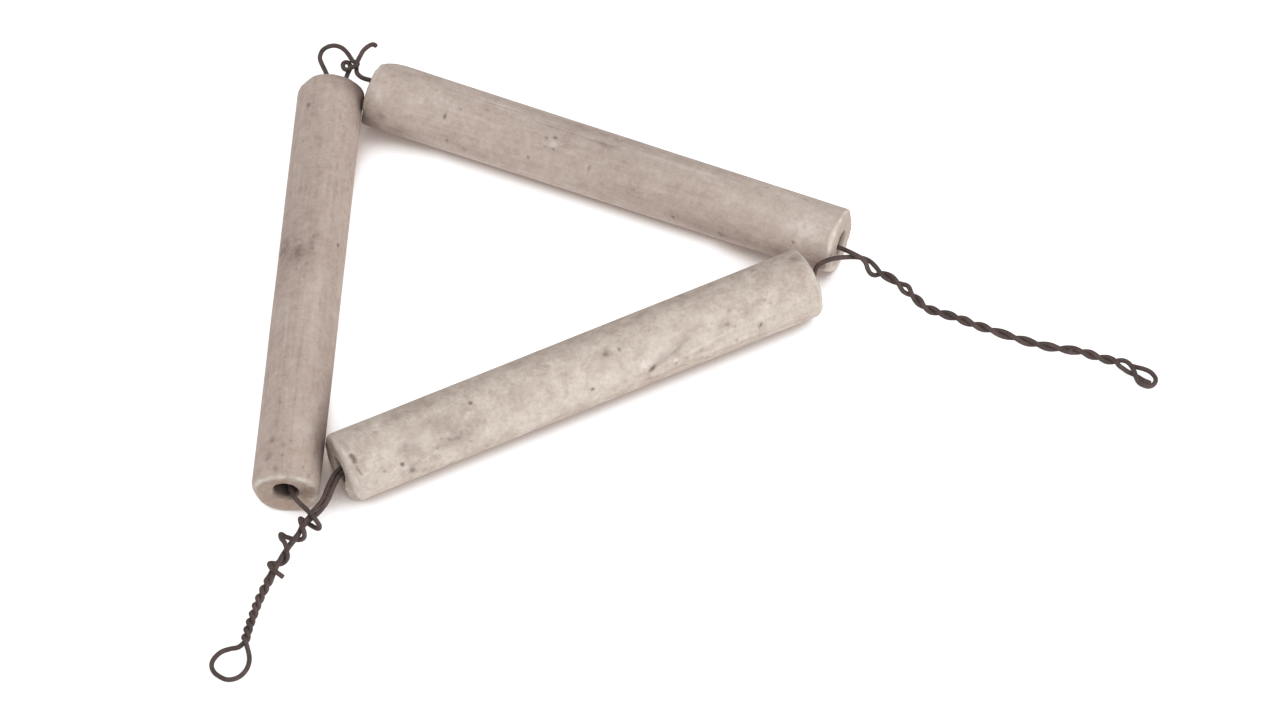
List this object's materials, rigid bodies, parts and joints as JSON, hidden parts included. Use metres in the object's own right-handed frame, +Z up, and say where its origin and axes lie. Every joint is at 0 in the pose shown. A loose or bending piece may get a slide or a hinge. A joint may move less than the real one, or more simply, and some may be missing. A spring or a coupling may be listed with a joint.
{
  "type": "pipe clay triangle",
  "caption": "Clay tubes on twisted iron wire, joined as a triangle that holds a crucible over a burner; long twisted tails rest on the ring.",
  "frame": {"origin": "under the middle of the whole outline, tails included, on the surface the tubes lie on", "axes": "+Z up, +X along the longest extent from the left tube to the right tail, +Y towards the corner with the open ring"},
  "size_m": [0.1106, 0.0922, 0.0085],
  "materials": {
    "clay": "unglazed fired clay, dry and matt, with pits, specks and faint sooty streaks",
    "clay_brown": "the same clay, heated browner, matt, pitted and stained",
    "iron_wire": "annealed iron wire under dark brown fire scale, dull and slightly rough"
  },
  "bodies": {
    "wires": {"left_wire": "iron_wire", "top_wire": "iron_wire", "lower_wire": "iron_wire"},
    "left_roller": {"left_tube": "clay_brown"},
    "top_roller": {"top_tube": "clay"},
    "lower_roller": {"lower_tube": "clay"}
  },
  "joints": [
    {"name": "left_tube_turn", "type": "hinge", "parent": "wires", "child": "left_roller", "pos_m": [-0.0457, 0.0087, 0.004], "axis": [-0.0541, -0.9985, 0], "continuous": true},
    {"name": "top_tube_turn", "type": "hinge", "parent": "wires", "child": "top_roller", "pos_m": [-0.01027, 0.02712, 0.00417], "axis": [0.9245, -0.3811, 0], "continuous": true},
    {"name": "lower_tube_turn", "type": "hinge", "parent": "wires", "child": "lower_roller", "pos_m": [-0.01355, -0.00453, 0.00428], "axis": [0.8934, 0.4493, 0], "continuous": true}
  ]
}
